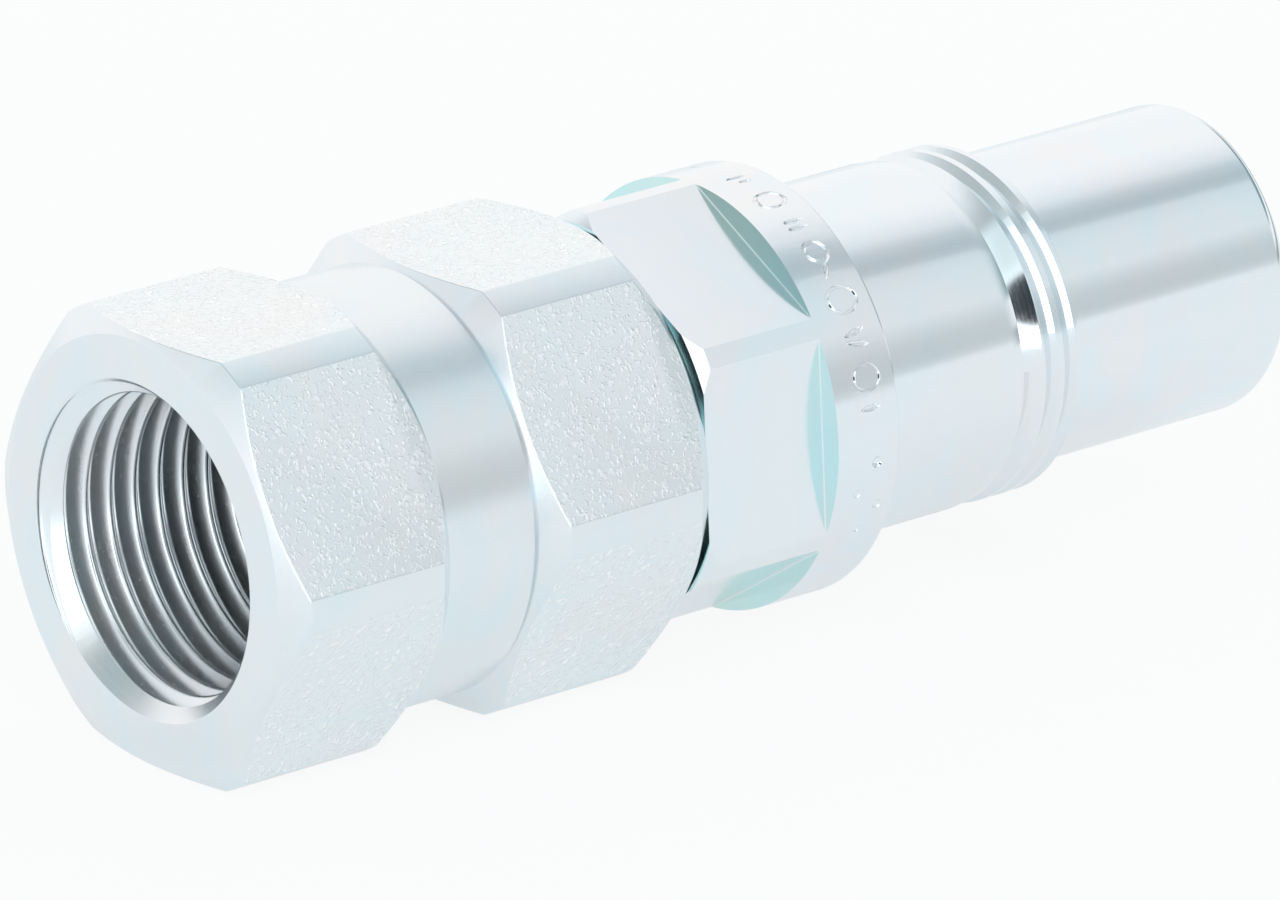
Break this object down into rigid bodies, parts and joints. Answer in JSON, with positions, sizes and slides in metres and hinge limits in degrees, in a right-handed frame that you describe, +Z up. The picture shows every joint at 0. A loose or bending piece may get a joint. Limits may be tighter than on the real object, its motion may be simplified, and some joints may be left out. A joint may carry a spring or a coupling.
{
  "type": "liquid cooling quick coupling",
  "caption": "Screw-to-connect flush valve nipple for a liquid cooling line: hexagon body with a threaded port, plated nipple with coupling thread, sprung valve inside.",
  "frame": {"origin": "on the surface that the part lies on, under the middle of its bounding box", "axes": "+X along the coupling from the threaded port to the nose, +Z up through a flat of the hexagons, +Y across"},
  "size_m": [0.0818, 0.03, 0.027],
  "materials": {
    "zinc_plate": "turned and milled steel, zinc plated with a clear blue passivation",
    "nipple_plate": "fine turned steel, bright zinc plated with a clear blue passivation",
    "seal_rubber": "black nitrile rubber",
    "backup_plastic": "white PTFE",
    "inner_steel": "plain machined stainless steel",
    "bush_bronze": "sintered bronze",
    "spring_steel": "drawn stainless spring wire",
    "valve_steel": "fine turned stainless steel",
    "insert_nylon": "blue nylon"
  },
  "bodies": {
    "coupling": {"port_body": "zinc_plate", "nipple": "nipple_plate", "joint_o_ring": "seal_rubber", "joint_backup_ring": "backup_plastic", "valve_guide": "inner_steel", "guide_bush": "bush_bronze", "guide_retaining_ring": "spring_steel", "spring_seat": "inner_steel", "valve_spring": "spring_steel"},
    "valve": {"valve_stem": "valve_steel", "valve_cap": "valve_steel", "valve_seal": "seal_rubber", "valve_backup_ring": "backup_plastic", "stop_washer": "inner_steel", "lock_nut": "inner_steel", "nut_insert": "insert_nylon"}
  },
  "joints": [
    {"name": "valve_slide", "type": "slide", "parent": "coupling", "child": "valve", "axis": [-1, 0, 0], "range_m": [0, 0.008], "stiffness_N_per_m": 5600, "springref_m": -0.0054, "deforming": ["valve_spring"]}
  ]
}
